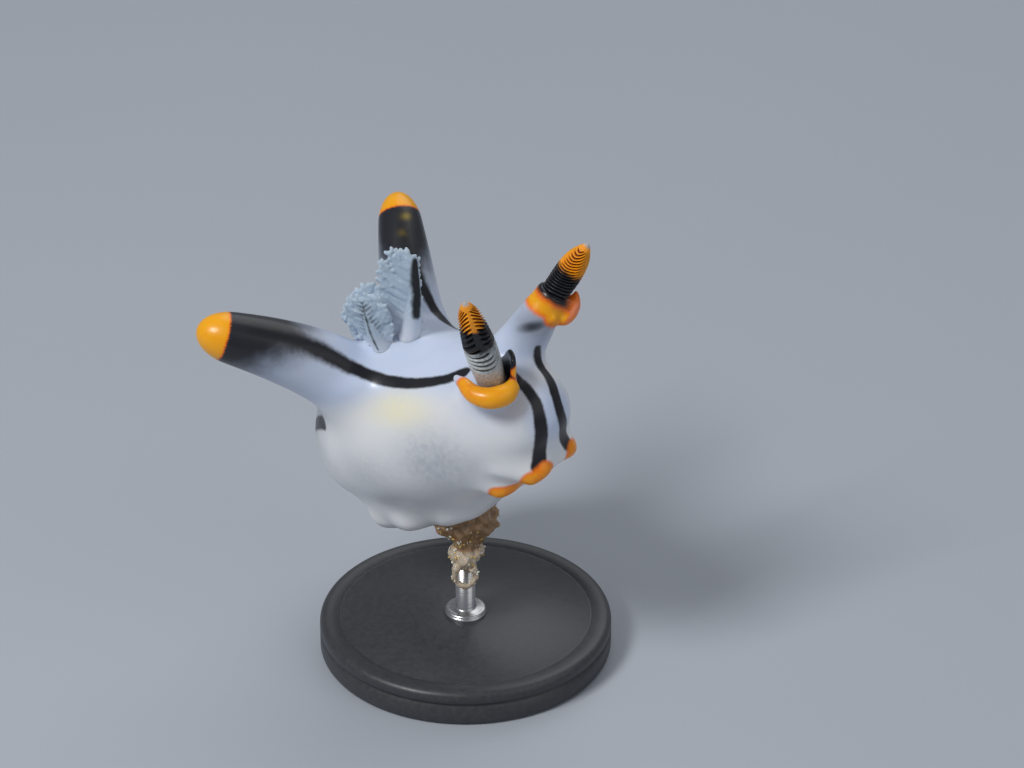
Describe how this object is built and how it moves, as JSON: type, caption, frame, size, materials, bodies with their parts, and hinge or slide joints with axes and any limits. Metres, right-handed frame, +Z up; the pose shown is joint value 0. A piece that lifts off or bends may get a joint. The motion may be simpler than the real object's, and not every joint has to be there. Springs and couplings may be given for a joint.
{
  "type": "thecacera picta sea slug",
  "caption": "Still, life-size model of the sea slug Thecacera picta, gripping a scrap of debris that a short rod holds over a flat round base.",
  "frame": {"origin": "centre of the stand base's flat underside, on the rod's upright axis", "axes": "+Z up from the base; +X towards the slug's head; +Y towards the slug's left side"},
  "size_m": [0.0138, 0.0145, 0.0193],
  "materials": {
    "flesh": "translucent bluish white flesh with black stripes and orange tips, moist",
    "orange_flesh": "orange flesh, moist",
    "lamellar_flesh": "orange, black and grey lamellate flesh, moist",
    "gill_flesh": "translucent bluish white gill with black lines",
    "debris": "brown, slime-coated debris set with pale grit",
    "rod_steel": "fine brushed steel rod",
    "stand_finish": "satin black"
  },
  "bodies": {
    "root": {"head": "flesh", "trunk": "flesh", "tail_base": "flesh", "tail_tip": "flesh", "foot": "flesh", "oral_lobe_right": "orange_flesh", "oral_lobe_left": "orange_flesh", "foot_corner_right": "orange_flesh", "foot_corner_left": "orange_flesh", "process_right": "flesh", "process_left": "flesh", "rhinophore_sheath_right": "flesh", "rhinophore_sheath_left": "flesh", "rhinophore_right": "lamellar_flesh", "rhinophore_left": "lamellar_flesh", "gill_plume_1": "gill_flesh", "gill_plume_2": "gill_flesh", "gill_plume_3": "gill_flesh", "gill_plume_4": "gill_flesh", "gill_plume_5": "gill_flesh", "perch_stem": "debris", "stand_rod": "rod_steel", "stand_base": "stand_finish"}
  },
  "joints": []
}
